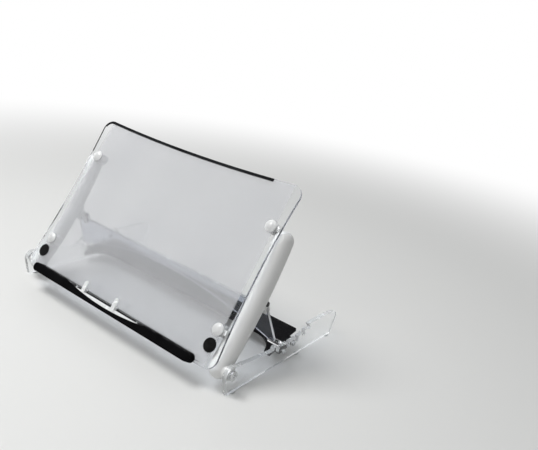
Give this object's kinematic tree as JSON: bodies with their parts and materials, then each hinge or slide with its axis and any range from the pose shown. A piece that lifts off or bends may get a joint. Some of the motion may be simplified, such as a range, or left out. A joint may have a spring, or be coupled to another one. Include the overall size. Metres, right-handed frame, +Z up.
{
  "type": "writing slope",
  "caption": "Clear desk-top writing slope: tilting board on tubular side rails, black book ledge with sliding page fingers, propped by a hinged flap on notched base fins.",
  "frame": {"origin": "on the desk, under the middle of the bounding box in the stored pose", "axes": "+X along the board to the writer's right, +Y away from the writer, +Z up"},
  "size_m": [0.5, 0.3198, 0.2845],
  "materials": {
    "clear_acrylic": "clear polished acrylic sheet",
    "clear_trim": "clear polished acrylic, small pieces",
    "pearl_plastic": "satin white moulded plastic",
    "cap_plastic": "milky moulded plastic",
    "badge_black": "plain black disc",
    "ledge_black": "fine matt black",
    "plate_black": "polished black acrylic",
    "steel": "plain steel",
    "dark_pin": "blackened steel",
    "bush_brass": "turned brass",
    "pad_rubber": "translucent soft pad"
  },
  "bodies": {
    "base": {"fin_left": "clear_acrylic", "fin_right": "clear_acrylic", "cross_plate": "plate_black", "plate_screws": "steel", "tilt_pins": "steel", "tilt_washers": "cap_plastic", "foot_pads": "pad_rubber"},
    "board": {"clear_sheet": "clear_acrylic", "rail_left": "pearl_plastic", "rail_right": "pearl_plastic", "clamp_screws": "steel", "clamp_caps": "cap_plastic", "blank_badges": "badge_black", "book_ledge": "ledge_black", "ledge_screws": "steel", "page_bar": "clear_trim", "page_bar_pins": "steel", "tilt_bushes": "bush_brass", "hinge_brackets": "pearl_plastic", "bracket_screws": "steel"},
    "flap": {"support_flap": "clear_acrylic", "flap_knuckles": "pearl_plastic", "hinge_pins": "dark_pin", "pin_clips": "dark_pin", "flap_feet": "clear_trim"},
    "finger_left": {"page_finger_left": "clear_trim"},
    "finger_right": {"page_finger_right": "clear_trim"}
  },
  "joints": [
    {"name": "board_tilt", "type": "hinge", "parent": "base", "child": "board", "pos_m": [0, -0.12373, 0.03085], "axis": [1, 0, 0], "range_deg": [-30, 0]},
    {"name": "flap_fold", "type": "hinge", "parent": "board", "child": "flap", "pos_m": [0, -0.03745, 0.10955], "axis": [1, 0, 0], "range_deg": [0, 93]},
    {"name": "finger_left_slide", "type": "slide", "parent": "board", "child": "finger_left", "axis": [1, 0, 0], "range_m": [-0.01, 0.04]},
    {"name": "finger_right_slide", "type": "slide", "parent": "board", "child": "finger_right", "axis": [1, 0, 0], "range_m": [-0.022, 0.045]}
  ],
  "couplings": [
    {"joint": "flap_fold", "follows": "board_tilt", "ratio": -3.1}
  ]
}
